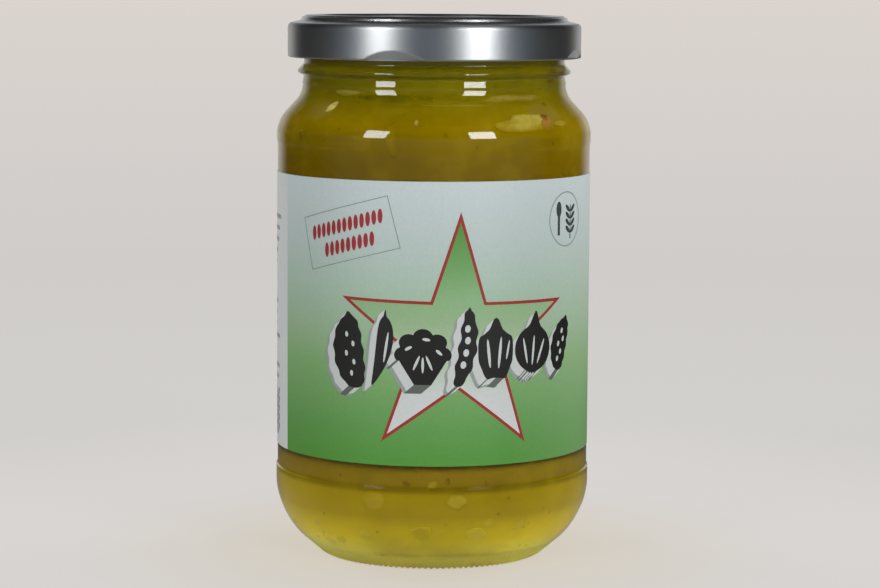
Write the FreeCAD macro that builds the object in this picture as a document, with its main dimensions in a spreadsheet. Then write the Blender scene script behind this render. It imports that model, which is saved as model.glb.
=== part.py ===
"""A jar of piccalilli: a round glass jar with a twist-off cap, a paper label and its contents.

The jar stands on z = 0 with its axis on Z, and its front is towards -Y.  Each piece is turned
from an outline drawn as radius and height, and all of them share the sizes in one sheet.
"""
import FreeCAD, Part
import os
from math import acos, atan2, hypot, pi, sin, tan

import Sketcher

SHEET = "Sizes"
HEM_ROUNDNESS = 0.45    # rounds of the rolled hem as a share of its width: a half would be a full circle

# name, size in millimetres or degrees, what it is
SIZES = [
    ("body_radius", 36.9, "glass body below the label"),
    ("wall", 2.8, "glass wall"),
    ("base_thickness", 4.0, "glass floor above the table"),
    ("push_up", 1.5, "hollow under the floor"),
    ("foot_width", 2.4, "foot corner to the inner edge of the ring it stands on"),
    ("foot_round", 1.85, "outer edge of that ring"),
    ("heel_inset", 10.7, "body wall to foot corner, inwards"),
    ("heel_height", 9.2, "foot corner to heel corner, upwards"),
    ("heel_round", 17.2, "large round of the heel"),
    ("well_round", 3.0, "inner corner of the floor"),
    ("panel_bottom", 20.2, "lower edge of the label panel"),
    ("panel_height", 76.8, "label panel"),
    ("panel_recess", 0.3, "depth of the label panel"),
    ("panel_step", 0.8, "height of the panel's sloping edges"),
    ("bumper_inset", 0.1, "upper band, slimmer than the body"),
    ("bumper_height", 4.5, "panel to shoulder corner"),
    ("shoulder_inset", 6.4, "body to neck, inwards"),
    ("shoulder_rise", 6.8, "shoulder corner to neck corner"),
    ("shoulder_round", 7.4, "outward round of the shoulder"),
    ("neck_round", 5.5, "hollow round below the neck"),
    ("finish_height", 16.6, "neck corner to rim"),
    ("bead_drop", 11.6, "rim to the middle of the bead"),
    ("bead_reach", 1.4, "bead, out from the neck"),
    ("rim_round", 0.75, "edges of the rim"),
    ("thread_gap", 0.2, "lugs to the thread ribs above them"),
    ("thread_reach", 1.85, "thread ribs, out from the neck"),
    ("thread_width", 1.9, "thread ribs, at the glass"),
    ("thread_arc", 58.0, "length of each thread rib, degrees"),
    ("headspace", 6.6, "rim to the top of the contents"),
    ("label_paper", 0.12, "paper and glue"),
    ("label_foot", 5.6, "bare panel below the label"),
    ("label_head", 7.2, "bare panel above the label"),
    ("lid_sheet", 0.3, "lacquered tinplate"),
    ("lid_height", 9.8, "whole cap"),
    ("lid_clearance", 1.6, "thread ribs to the inside of the skirt"),
    ("seal", 0.9, "sealing compound on the rim"),
    ("seal_margin", 0.3, "compound, past both edges of the rim"),
    ("panel_drop", 1.2, "raised ring to centre panel"),
    ("button_radius", 10.5, "safety button"),
    ("button_dish", 0.5, "safety button, pulled in"),
    ("ring_lean", 0.2, "raised ring, wider at each step down"),
    ("ring_round", 0.6, "edges of the raised ring"),
    ("ledge_drop", 1.25, "raised ring to its root"),
    ("ledge_fall", 0.75, "ledge, down to the skirt"),
    ("skirt_round", 1.2, "top edge of the skirt"),
    ("hem", 1.4, "rolled hem, across"),
    ("lug_count", 4, "lugs, and one thread rib for each"),
    ("lug_arc", 18.0, "length of each lug, degrees"),
    ("lug_hold", 0.75, "lug, in under its thread rib"),
    ("lug_thickness", 0.95, "pressed lug"),
    ("lug_dent", 0.5, "hem pressed in at each lug"),
    ("first_lug", -16.0, "first lug from the +X axis, degrees"),
]


def size(name):
    """The expression that reads one size from the sheet."""
    return f"{SHEET}.{name}"


def total(*terms):
    """A sum of sizes, as an expression: each term is a name, '-name' or a bracketed expression."""
    parts = []
    for term in terms:
        sign, name = ("-", term[1:]) if term.startswith("-") else ("+", term)
        parts.append(f"{sign} {name if name.startswith('(') else size(name)}")
    return "(" + " ".join(parts).removeprefix("+ ") + ")"


doc = FreeCAD.newDocument("piccalilli_jar")
sheet = doc.addObject("Spreadsheet::Sheet", SHEET)
for row, (name, value, note) in enumerate(SIZES, start=1):
    sheet.set(f"A{row}", note)
    sheet.set(f"B{row}", str(value))
    sheet.setAlias(f"B{row}", name)
doc.recompute()


def value_of(expression):
    """The number that an expression comes to with the sheet's present sizes."""
    result = sheet.evalExpression(expression)
    return float(getattr(result, "Value", result))


# ---------------------------------------------------------------- radii and heights used more than once
neck_radius = total("body_radius", "-shoulder_inset")
mouth_radius = total(neck_radius, "-wall")
panel_radius = total("body_radius", "-panel_recess")
panel_top = total("panel_bottom", "panel_height")
shoulder_corner = total(panel_top, "bumper_height")
neck_corner = total(shoulder_corner, "shoulder_rise")
rim_height = total(neck_corner, "finish_height")
fill_height = total(rim_height, "-headspace")
lid_top = total(rim_height, "seal", "lid_sheet")
lid_inside = total(neck_radius, "thread_reach", "lid_clearance")
lid_radius = total(lid_inside, "lid_sheet")
hem_bottom = total(lid_top, "-lid_height")
hem_top = total(hem_bottom, "hem")
lug_top = total(hem_top, f"-(({size('hem')} - {size('lug_thickness')}) / 2)")
band_inset = total("shoulder_inset", "-bumper_inset")


# ---------------------------------------------------------------- drawing helpers
def new_body(label):
    """A body that bears the name of its piece."""
    body = doc.addObject("PartDesign::Body", label)
    body.Label = label
    return body


def upright_sketch(body, name):
    """A sketch on the body's XZ plane: across is the radius, up is the height."""
    plane = next(item for item in body.Origin.OriginFeatures if item.Role == "XZ_Plane")
    sketch = body.newObject("Sketcher::SketchObject", name)
    sketch.AttachmentSupport = [(plane, "")]
    sketch.MapMode = "FlatFace"
    return sketch


def fix(sketch, kind, *where, expression, name):
    """Add a dimension that follows an expression."""
    index = sketch.addConstraint(Sketcher.Constraint(kind, *where, value_of(expression)))
    sketch.renameConstraint(index, name)
    sketch.setExpression(f"Constraints.{name}", expression)


def fix_point(sketch, shape, end, radius, height, name):
    """Hold a point at a radius and a height; '0' puts it on the sketch's axis."""
    if radius == "0":
        sketch.addConstraint(Sketcher.Constraint("PointOnObject", shape, end, -2))
    else:
        fix(sketch, "DistanceX", -1, 1, shape, end, expression=radius, name=name + "_radius")
    if height == "0":
        sketch.addConstraint(Sketcher.Constraint("PointOnObject", shape, end, -1))
    else:
        fix(sketch, "DistanceY", -1, 1, shape, end, expression=height, name=name + "_height")


def rounding(before, corner, after, radius):
    """Where a round of this radius leaves and meets the two lines of a corner, and its arc."""
    arms = []
    for other in (before, after):
        length = hypot(other[0] - corner[0], other[1] - corner[1])
        arms.append(((other[0] - corner[0]) / length, (other[1] - corner[1]) / length))
    (ax, ay), (bx, by) = arms
    opening = acos(max(-1.0, min(1.0, ax * bx + ay * by)))
    reach = radius / tan(opening / 2)
    to_centre = radius / sin(opening / 2)
    middle = hypot(ax + bx, ay + by)
    centre = (corner[0] + to_centre * (ax + bx) / middle, corner[1] + to_centre * (ay + by) / middle)
    enters = (corner[0] + reach * ax, corner[1] + reach * ay)
    leaves = (corner[0] + reach * bx, corner[1] + reach * by)
    start, end = (atan2(point[1] - centre[1], point[0] - centre[0]) for point in (enters, leaves))
    runs_forward = (end - start) % (2 * pi) < pi
    return enters, leaves, centre, (start, end) if runs_forward else (end, start), runs_forward


def outline(sketch, corners):
    """Draw a closed outline from its corners: (name, radius, height) or with a round as a fourth."""
    points = [(value_of(corner[1]), value_of(corner[2])) for corner in corners]
    count = len(corners)
    rounds = {}
    for i, corner in enumerate(corners):
        if len(corner) == 4:
            rounds[i] = rounding(points[i - 1], points[i], points[(i + 1) % count], value_of(corner[3]))

    lines = []
    for i in range(count):
        after = (i + 1) % count
        start = rounds[i][1] if i in rounds else points[i]
        end = rounds[after][0] if after in rounds else points[after]
        lines.append(sketch.addGeometry(Part.LineSegment(FreeCAD.Vector(*start, 0), FreeCAD.Vector(*end, 0))))

    for i, corner in enumerate(corners):
        name, radius, height = corner[:3]
        line_in, line_out = lines[i - 1], lines[i]
        if i not in rounds:
            sketch.addConstraint(Sketcher.Constraint("Coincident", line_in, 2, line_out, 1))
            fix_point(sketch, line_out, 1, radius, height, name)
            continue
        _, _, centre, (start, end), runs_forward = rounds[i]
        circle = Part.Circle(FreeCAD.Vector(*centre, 0), FreeCAD.Vector(0, 0, 1), value_of(corner[3]))
        arc = sketch.addGeometry(Part.ArcOfCircle(circle, start, end))
        first, last = (1, 2) if runs_forward else (2, 1)
        mark = sketch.addGeometry(Part.Point(FreeCAD.Vector(*points[i], 0)), True)
        fix_point(sketch, mark, 1, radius, height, name)
        sketch.addConstraint([
            Sketcher.Constraint("PointOnObject", mark, 1, line_in),
            Sketcher.Constraint("PointOnObject", mark, 1, line_out),
            Sketcher.Constraint("Tangent", line_in, 2, arc, first),
            Sketcher.Constraint("Tangent", arc, last, line_out, 1),
        ])
        fix(sketch, "Radius", arc, expression=corner[3], name=name + "_round")


def turned(body, sketch, name, kind="Revolution", angle=None):
    """Turn a sketch round the upright axis, all the way or by an angle shared by both sides."""
    feature = body.newObject(f"PartDesign::{kind}", name)
    feature.Profile = (sketch, [""])
    feature.ReferenceAxis = (sketch, ["V_Axis"])
    feature.Angle = 360
    if angle:
        feature.Midplane = True
        feature.setExpression("Angle", size(angle))
    sketch.Visibility = False
    body.Tip = feature
    return feature


def around(body, feature, name):
    """Repeat a feature evenly round the axis, once for each lug."""
    axis = next(item for item in body.Origin.OriginFeatures if item.Role == "Z_Axis")
    pattern = body.newObject("PartDesign::PolarPattern", name)
    pattern.Originals = [feature]
    pattern.Axis = (axis, [""])
    pattern.Angle = 360
    pattern.setExpression("Occurrences", size("lug_count"))
    body.Tip = pattern
    return pattern


def turn_to_front(body):
    """Turn a piece so that its first lug or rib stands where the cap was screwed down to."""
    body.setExpression("Placement.Rotation.Angle", size("first_lug"))
    body.setExpression("Placement.Rotation.Axis.z", "1")


# ---------------------------------------------------------------- the inside of the glass
# The inner wall runs a wall's thickness inside the outer one, so its corners lie on the same
# bisectors and its rounds are smaller or larger by the wall.
shoulder_shift = f"({size('wall')} * tan(atan2({band_inset}; {size('shoulder_rise')}) / 2))"
heel_shift = f"({size('wall')} * tan(atan2({size('heel_inset')}; {size('heel_height')}) / 2))"
heel_corner = total("heel_height", heel_shift)
well_inset = f"(({heel_corner} - {size('base_thickness')}) * {size('heel_inset')} / {size('heel_height')})"


def inside_of_glass():
    """The corners of the inner wall, from the floor up to the neck."""
    body_inside = total("body_radius", "-wall")
    band_inside = total("body_radius", "-bumper_inset", "-wall")
    return [
        ("floor", "0", size("base_thickness")),
        ("well", total(body_inside, f"-{well_inset}"), size("base_thickness"), size("well_round")),
        ("heel", body_inside, heel_corner, total("heel_round", "-wall")),
        ("band", body_inside, size("panel_bottom")),
        ("shoulder", band_inside, total(shoulder_corner, f"-{shoulder_shift}"), total("shoulder_round", "-wall")),
        ("neck", mouth_radius, total(neck_corner, f"-{shoulder_shift}"), total("neck_round", "wall")),
    ]


# ---------------------------------------------------------------- jar
def make_jar():
    """Soda-lime glass, 370 ml size: heel, recessed label panel, shoulder, bead and threaded finish."""
    body = new_body("jar")
    band_radius = total("body_radius", "-bumper_inset")

    outside = upright_sketch(body, "jar_outline")
    outline(outside, [
        ("underside", "0", size("push_up")),
        ("hollow", total("body_radius", "-heel_inset", "-foot_width", "-push_up"), size("push_up"),
         size("foot_round")),
        ("foot_inner", total("body_radius", "-heel_inset", "-foot_width"), "0"),
        ("foot", total("body_radius", "-heel_inset"), "0", size("foot_round")),
        ("heel", size("body_radius"), size("heel_height"), size("heel_round")),
        ("panel_low", size("body_radius"), size("panel_bottom")),
        ("panel_low_in", panel_radius, total("panel_bottom", "panel_step")),
        ("panel_high_in", panel_radius, total(panel_top, "-panel_step")),
        ("panel_high", band_radius, panel_top),
        ("shoulder", band_radius, shoulder_corner, size("shoulder_round")),
        ("neck", neck_radius, neck_corner, size("neck_round")),
        ("rim", neck_radius, rim_height, size("rim_round")),
        ("rim_middle", "0", rim_height),
    ])
    turned(body, outside, "jar_blank")

    bead = upright_sketch(body, "bead_outline")
    bead_height = total(rim_height, "-bead_drop")
    centre = FreeCAD.Vector(value_of(neck_radius), value_of(bead_height), 0)
    ring = bead.addGeometry(Part.Circle(centre, FreeCAD.Vector(0, 0, 1), value_of(size("bead_reach"))))
    fix_point(bead, ring, 3, neck_radius, bead_height, "bead")
    fix(bead, "Radius", ring, expression=size("bead_reach"), name="bead_round")
    turned(body, bead, "bead")

    rib = upright_sketch(body, "thread_outline")
    rib_outer = total(neck_radius, "thread_reach")
    rib_root = total(neck_radius, "-rim_round")
    rib_middle = total(lug_top, "thread_gap", f"({size('thread_width')} / 2)")
    outline(rib, [
        ("root_low", rib_root, f"{rib_middle} - {size('thread_width')} / 2"),
        ("crest_low", rib_outer, f"{rib_middle} - {size('thread_width')} / 4"),
        ("crest_high", rib_outer, f"{rib_middle} + {size('thread_width')} / 4"),
        ("root_high", rib_root, f"{rib_middle} + {size('thread_width')} / 2"),
    ])
    around(body, turned(body, rib, "thread_rib", angle="thread_arc"), "thread_ribs")

    cavity = upright_sketch(body, "cavity_outline")
    above_rim = total(rim_height, "rim_round")
    flare = total(mouth_radius, "rim_round")
    outline(cavity, inside_of_glass() + [
        ("mouth", mouth_radius, total(rim_height, "-rim_round")),
        ("mouth_edge", flare, rim_height),
        ("above_edge", flare, above_rim),
        ("above", "0", above_rim),
    ])
    turned(body, cavity, "cavity", kind="Groove")
    return body


# ---------------------------------------------------------------- piccalilli
def make_piccalilli():
    """The contents, a thick sauce that fills the glass to just under the rim."""
    body = new_body("piccalilli")
    sketch = upright_sketch(body, "contents_outline")
    outline(sketch, inside_of_glass() + [
        ("surface_edge", mouth_radius, fill_height),
        ("surface", "0", fill_height),
    ])
    turned(body, sketch, "contents")
    return body


# ---------------------------------------------------------------- label
def make_label():
    """A paper label glued right round the panel."""
    body = new_body("label")
    sketch = upright_sketch(body, "label_outline")
    outer = total(panel_radius, "label_paper")
    bottom = total("panel_bottom", "label_foot")
    top = total(panel_top, "-label_head")
    outline(sketch, [
        ("inner_low", panel_radius, bottom),
        ("outer_low", outer, bottom),
        ("outer_high", outer, top),
        ("inner_high", panel_radius, top),
    ])
    turned(body, sketch, "paper")
    return body


# ---------------------------------------------------------------- lid
def make_lid():
    """A pressed twist-off cap of tinplate: raised ring over the rim, skirt, rolled hem and lugs."""
    body = new_body("lid")
    seal_inner = total(mouth_radius, "-seal_margin")
    seal_outer = total(neck_radius, "seal_margin")
    ring_radius = total(seal_outer, "ring_lean")
    ring_root = total(ring_radius, "ring_lean")
    panel_face = total(lid_top, "-panel_drop")
    panel_back = total(panel_face, "-lid_sheet")
    ledge_root = total(lid_top, "-ledge_drop")
    skirt_top = total(ledge_root, "-ledge_fall")
    ledge_shift = f"({size('lid_sheet')} * tan(atan2({lid_radius} - {ring_root}; {size('ledge_fall')}) / 2))"
    button_foot = total("button_radius", "button_dish", "button_dish")
    hem_inside = total(lid_radius, "-hem")

    sketch = upright_sketch(body, "lid_outline")
    hem_round = f"({size('hem')} * {HEM_ROUNDNESS})"
    outline(sketch, [
        ("button_face", "0", total(panel_face, "-button_dish")),
        ("button_edge", size("button_radius"), total(panel_face, "-button_dish")),
        ("button_foot", button_foot, panel_face),
        ("panel_edge", total(seal_inner, "-lid_sheet", "-ring_lean"), panel_face),
        ("ring_inner", total(seal_inner, "-lid_sheet"), lid_top, size("ring_round")),
        ("ring_outer", ring_radius, lid_top, size("ring_round")),
        ("ring_root", ring_root, ledge_root),
        ("skirt_top", lid_radius, skirt_top, size("skirt_round")),
        ("hem_low_outer", lid_radius, hem_bottom, hem_round),
        ("hem_low_inner", hem_inside, hem_bottom, hem_round),
        ("hem_high_inner", hem_inside, hem_top, hem_round),
        ("hem_high_outer", lid_inside, hem_top),
        ("skirt_back", lid_inside, total(skirt_top, f"-{ledge_shift}"), total("skirt_round", "-lid_sheet")),
        ("ledge_back", seal_outer, total(ledge_root, "-lid_sheet")),
        ("seal_outer", seal_outer, rim_height),
        ("seal_inner", seal_inner, rim_height),
        ("panel_back_edge", seal_inner, panel_back),
        ("button_back_foot", button_foot, panel_back),
        ("button_back_edge", size("button_radius"), total(panel_back, "-button_dish")),
        ("button_back", "0", total(panel_back, "-button_dish")),
    ])
    turned(body, sketch, "pressed_cap")

    lug = upright_sketch(body, "lug_outline")
    lug_reach = total(neck_radius, "thread_reach", "-lug_hold")
    lug_root = total(lid_radius, f"-({size('hem')} / 2)")
    lug_bottom = total(lug_top, "-lug_thickness")
    outline(lug, [
        ("tip_low", lug_reach, lug_bottom),
        ("root_low", lug_root, lug_bottom),
        ("root_high", lug_root, lug_top),
        ("tip_high", lug_reach, lug_top),
    ])
    around(body, turned(body, lug, "lug", angle="lug_arc"), "lugs")

    dent = upright_sketch(body, "dent_outline")
    outside_lid = total(lid_radius, "hem")
    outline(dent, [
        ("dent_low", total(lid_radius, "-lug_dent"), hem_bottom),
        ("below", total(lid_radius, "-lug_dent"), total(hem_bottom, "-hem")),
        ("below_out", outside_lid, total(hem_bottom, "-hem")),
        ("above_out", outside_lid, hem_top),
        ("dent_high", lid_radius, hem_top),
    ])
    pocket = body.newObject("PartDesign::Pocket", "dent")
    pocket.Profile = (dent, [""])
    pocket.Type = "Length"
    pocket.Midplane = True
    pocket.setExpression("Length", f"{lid_radius}")
    body.Tip = pocket
    around(body, pocket, "dents")
    return body


# ---------------------------------------------------------------- build, check and write
pieces = [make_jar(), make_piccalilli(), make_label(), make_lid()]
for piece in pieces:
    turn_to_front(piece)
doc.recompute()

for item in doc.Objects:
    if "Invalid" in item.State or "Error" in item.State:
        raise RuntimeError(f"{item.Label} failed: {item.State}")
    if item.TypeId == "Sketcher::SketchObject" and not item.FullyConstrained:
        raise RuntimeError(f"{item.Label} is not fully constrained")

os.makedirs("parts", exist_ok=True)
for piece in pieces:
    shape = piece.Shape
    if shape.isNull() or not shape.isValid() or len(shape.Solids) != 1:
        raise RuntimeError(f"{piece.Label} is not one valid solid")
    shape.exportStep(f"parts/{piece.Label}.step")
    box = shape.BoundBox
    print(f"{piece.Label}: {shape.Volume / 1000:.2f} cm3, z {box.ZMin:.2f} to {box.ZMax:.2f}, across {box.XLength:.2f}")
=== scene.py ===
"""A jar of piccalilli in twist-off glass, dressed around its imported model.

Lengths below are millimetres until MM turns them into metres.
"""
import math
import random

import bmesh
import bpy
from mathutils import Matrix, Vector, noise


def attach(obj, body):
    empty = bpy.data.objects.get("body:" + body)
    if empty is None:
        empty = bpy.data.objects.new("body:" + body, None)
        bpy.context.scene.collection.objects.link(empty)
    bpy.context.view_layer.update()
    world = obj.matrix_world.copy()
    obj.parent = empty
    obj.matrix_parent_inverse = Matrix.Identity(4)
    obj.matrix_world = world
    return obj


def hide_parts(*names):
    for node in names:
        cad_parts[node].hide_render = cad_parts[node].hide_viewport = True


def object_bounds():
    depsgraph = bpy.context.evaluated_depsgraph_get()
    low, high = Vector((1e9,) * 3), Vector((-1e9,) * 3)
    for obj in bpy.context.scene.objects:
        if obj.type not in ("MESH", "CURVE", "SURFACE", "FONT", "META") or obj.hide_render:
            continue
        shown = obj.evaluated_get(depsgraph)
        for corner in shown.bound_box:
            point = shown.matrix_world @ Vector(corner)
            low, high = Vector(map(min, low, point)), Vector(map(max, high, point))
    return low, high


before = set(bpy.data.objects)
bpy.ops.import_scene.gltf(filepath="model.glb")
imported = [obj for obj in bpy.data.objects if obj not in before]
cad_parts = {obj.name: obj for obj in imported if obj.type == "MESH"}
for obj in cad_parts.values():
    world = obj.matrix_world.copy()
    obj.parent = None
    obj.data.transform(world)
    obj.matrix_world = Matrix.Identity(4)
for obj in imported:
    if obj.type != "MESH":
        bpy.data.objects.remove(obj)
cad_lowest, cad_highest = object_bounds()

scene = bpy.context.scene
scene.view_settings.view_transform = "Standard"
MM = 0.001


# ---------------------------------------------------------------- camera
# A long lens a little over half a metre off, at the height of the lid. It looks slightly down, and
# it is held a third of a degree out of level.
LENS = 111.5
DISTANCE, EYE_HEIGHT = 639.6, 134.1
DOWN, ASIDE, ROLL = (math.radians(a) for a in (6.557, -0.149, 0.367))

camera = bpy.data.objects.new("camera", bpy.data.cameras.new("camera"))
camera.data.sensor_width = 36
camera.data.lens = LENS
camera.matrix_world = (
    Matrix.Translation((0, -DISTANCE * MM, cad_lowest.z + EYE_HEIGHT * MM))
    @ Matrix.Rotation(ASIDE, 4, "Z")
    @ Matrix.Rotation(math.pi / 2 - DOWN, 4, "X")
    @ Matrix.Rotation(ROLL, 4, "Z")
)
scene.collection.objects.link(camera)
scene.camera = camera


# ---------------------------------------------------------------- light
# Two soft boxes in front, one each side of the camera, and two weaker ones high up behind for the
# far side of the jar, which the gloss doesn't show. All are far enough off to fall off little.
def softbox(name, turn, rise, distance, width, height, brightness, mirrored=True):
    """A soft box that faces the jar. Turn is its angle round from the front, to the right."""
    lamp = bpy.data.lights.new(name, "AREA")
    lamp.shape = "RECTANGLE"
    lamp.size, lamp.size_y = width, height
    lamp.energy = brightness * math.pi * width * height
    box = bpy.data.objects.new(name, lamp)
    a, e = math.radians(turn), math.radians(rise)
    off = Vector((math.sin(a) * math.cos(e), -math.cos(a) * math.cos(e), math.sin(e)))
    aim = Vector((0, 0, (cad_lowest.z + cad_highest.z) / 2))
    facing = off.to_track_quat("Z", "Y").to_matrix().to_4x4()
    box.matrix_world = Matrix.Translation(aim + off * distance) @ facing
    box.visible_glossy = mirrored
    scene.collection.objects.link(box)


softbox("softbox_left", -43.5, 22, 1.2, 0.35, 0.44, 10.8)
softbox("softbox_right", 36, 22, 1.2, 0.38, 0.44, 13.4)
softbox("backlight_left", -127, 40, 1.3, 0.40, 0.40, 9.5, mirrored=False)
softbox("backlight_right", 124, 40, 1.3, 0.40, 0.40, 11, mirrored=False)


# ---------------------------------------------------------------- surroundings
# The dark room in front and overhead, with the pale paper backdrop behind the jar. Seen directly
# or through glass it is the pale paper all round, and the light that it gives is plain grey.
def colour(red, green, blue):
    """A screen colour, 0 to 255, as the linear colour that a shader takes."""
    shares = (c / 255 for c in (red, green, blue))
    return tuple(s / 12.92 if s <= 0.04045 else ((s + 0.055) / 1.055) ** 2.4 for s in shares) + (1.0,)


def add(tree, kind, values=None, **settings):
    """A node with its settings made, its values set and its links drawn."""
    node = tree.nodes.new(kind)
    for key, value in settings.items():
        setattr(node, key, value)
    for key, value in (values or {}).items():
        if isinstance(value, bpy.types.NodeSocket):
            tree.links.new(value, node.inputs[key])
        else:
            node.inputs[key].default_value = value
    return node


def ramp(tree, factor, stops, interpolation="LINEAR"):
    """A colour ramp through (position, colour) stops."""
    node = add(tree, "ShaderNodeValToRGB", {"Fac": factor})
    node.color_ramp.interpolation = interpolation
    marks = node.color_ramp.elements
    marks[0].position, marks[0].color = stops[0]
    marks[1].position, marks[1].color = stops[-1]
    for position, shade in stops[1:-1]:
        marks.new(position).color = shade
    return node.outputs["Color"]


def spread(tree, value, low, high, first=0.0, last=1.0, **settings):
    """The value's run from low to high, spread out from first to last and held beyond them."""
    return add(tree, "ShaderNodeMapRange", {
        "Value": value, "From Min": low, "From Max": high, "To Min": first, "To Max": last},
        **settings).outputs["Result"]


def blend(tree, share, first, second):
    """Two colours mixed, from all of the first to all of the second."""
    return add(tree, "ShaderNodeMix", {
        "Factor": share, 6: first, 7: second}, data_type="RGBA").outputs[2]


PAPER_HIGH, PAPER_LOW = colour(222, 214, 207), colour(207, 204, 202)
ROOM_DARK, ROOM_FRONT, ROOM_HIGH = colour(40, 42, 40), colour(78, 98, 116), colour(28, 28, 28)
ROOM_HIGH_BEHIND = colour(168, 170, 172)
AMBIENT_LEFT, AMBIENT_RIGHT = (0.12, 0.12, 0.12, 1), (0.50, 0.50, 0.50, 1)
AMBIENT_BEHIND = (0.60, 0.59, 0.58, 1)

world = bpy.data.worlds.new("room")
scene.world = world
world.use_nodes = True
tree = world.node_tree
tree.nodes.clear()
look = add(tree, "ShaderNodeTexCoord").outputs["Generated"]
toward = add(tree, "ShaderNodeSeparateXYZ", {"Vector": look}).outputs
paper = ramp(tree, spread(tree, toward["Z"], -0.10, 0.02), [(0, PAPER_LOW), (1, PAPER_HIGH)])
room = ramp(tree, spread(tree, toward["Y"], -1, 1), [
    (0, ROOM_FRONT), (0.30, ROOM_FRONT), (0.52, ROOM_DARK), (0.86, ROOM_DARK), (0.94, PAPER_LOW)])
ceiling = blend(tree, spread(tree, toward["Y"], 0.76, 0.96), ROOM_HIGH, ROOM_HIGH_BEHIND)
walls = blend(tree, spread(tree, toward["Z"], 0.12, 0.30), room, ceiling)
in_front = ramp(tree, spread(tree, toward["X"], -1, 1), [(0, AMBIENT_LEFT), (1, AMBIENT_RIGHT)])
ambient = blend(tree, spread(tree, toward["Y"], 0.0, 0.5), in_front, AMBIENT_BEHIND)
ray = add(tree, "ShaderNodeLightPath").outputs
seen = add(tree, "ShaderNodeMath", {
    0: ray["Is Camera Ray"], 1: ray["Is Transmission Ray"]}, operation="MAXIMUM").outputs[0]
shown = blend(tree, seen, blend(tree, ray["Is Glossy Ray"], ambient, walls), paper)
sky = add(tree, "ShaderNodeBackground", {"Color": shown})
tree.links.new(sky.outputs[0], add(tree, "ShaderNodeOutputWorld").inputs["Surface"])
world.cycles.sampling_method = "NONE"


# ---------------------------------------------------------------- floor
# A sheet of pale paper that runs off into the backdrop with no edge. Under the jar its colour carries
# a painted shadow, and close by a painted warm light from the jar. It holds the jar's soft shadow, and
# towards its edge it fades out.
FLOOR_RADIUS = 0.72
FLOOR_TONE = (0.08, 0.078, 0.076, 1)
FLOOR_GLOW = (0.60, 0.578, 0.560, 1)
FLOOR_PAINTED_WARM_LIGHT = (0.590, 0.545, 0.465, 1)
FLOOR_FAR = (0.560, 0.545, 0.530, 1)
FLOOR_PAINTED_SHADOW = (0.46, 0.43, 0.34, 1)
GLOSS_NEAR, GLOSS_FAR = 0.35, 0.05


def new_material(name):
    """A material, its node tree and its Principled shader."""
    made = bpy.data.materials.new(name)
    made.use_nodes = True
    return made, made.node_tree, made.node_tree.nodes["Principled BSDF"]


def finish_piece(bm, name, materials, smooth=True):
    """Turns a bmesh into a linked object and hands over its materials."""
    mesh = bpy.data.meshes.new(name)
    if smooth:
        for face in bm.faces:
            face.smooth = True
    bm.to_mesh(mesh)
    bm.free()
    for made in materials:
        mesh.materials.append(made)
    piece = bpy.data.objects.new(name, mesh)
    scene.collection.objects.link(piece)
    return piece


floor_paper, tree, shader = new_material("floor_paper")
shader.inputs["Base Color"].default_value = FLOOR_TONE
shader.inputs["Roughness"].default_value = 0.9
shader.inputs["Specular IOR Level"].default_value = 0.0
ray = add(tree, "ShaderNodeLightPath").outputs
place = add(tree, "ShaderNodeTexCoord").outputs["Object"]
away = add(tree, "ShaderNodeVectorMath", {0: place}, operation="LENGTH").outputs["Value"]
glow = add(tree, "ShaderNodeMix", {
    0: ray["Is Glossy Ray"], 2: 1.0, 3: spread(tree, away, 0.045, 0.14, GLOSS_NEAR, GLOSS_FAR)},
    data_type="FLOAT")
tree.links.new(glow.outputs[0], shader.inputs["Emission Strength"])
# Painted shadow on the floor under the jar's foot, and painted warm light from the jar around it.
tree.links.new(ramp(tree, spread(tree, away, 0.0, 0.25), [
    (0.100, FLOOR_PAINTED_SHADOW), (0.107, FLOOR_PAINTED_WARM_LIGHT), (0.34, FLOOR_GLOW), (0.45, FLOOR_GLOW),
    (0.8, FLOOR_FAR)]), shader.inputs["Emission Color"])
tree.links.new(
    spread(tree, away, 0.16, 0.70, 1.0, 0.0, interpolation_type="SMOOTHSTEP"),
    shader.inputs["Alpha"])

bm = bmesh.new()
bmesh.ops.create_circle(bm, cap_ends=True, segments=96, radius=FLOOR_RADIUS)
bmesh.ops.translate(bm, verts=bm.verts[:], vec=(0, 0, cad_lowest.z))
floor = finish_piece(bm, "floor", [floor_paper], smooth=False)


# ---------------------------------------------------------------- glass jar
# The jar is pale flint glass, blown in a two-part mould with a round-shouldered body, a bead under
# the cap, four short threads, a pushed-up base and a knurled ring that it stands on.
STEPS, SECTORS = 480, 24
WALL_OUT, PANEL_OUT, NECK_OUT = 36.9, 36.6, 30.5
KNURLS, KNURL_HIGH, KNURL_INSIDE = 120, 1.6, 24.4
KNURL_RISE, KNURL_DEEP = 0.42, 0.35
THREAD_MID, THREAD_HALF, THREAD_REACH, THREAD_ARC = 118.62, 0.95, 1.85, 58
THREAD_FADE = 7
FIRST_LUG = -16
SEAM_TURNS, SEAM_RUNS = (80, 260), ((12, 20), (98, 111))
SEAM_HALF, SEAM_RISE = 0.4, 0.09


def outline(corners):
    """A wire through (radius, height, rounding) corners, each rounding bevelled to a true arc."""
    bm = bmesh.new()
    line = [bm.verts.new((radius * MM, 0, height * MM)) for radius, height, _ in corners]
    for start, end in zip(line, line[1:]):
        bm.edges.new((start, end))
    for corner, (_, _, rounding) in zip(line, corners):
        if rounding:
            before, after = (e.other_vert(corner).co - corner.co for e in corner.link_edges)
            half = before.angle(after) / 2
            bmesh.ops.bevel(
                bm, geom=[corner], offset=rounding * MM / math.tan(half), offset_type="OFFSET",
                segments=max(3, round((math.pi - 2 * half) / math.radians(4.5))), profile=0.5,
                affect="VERTICES", material=-1)
    return bm


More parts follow.
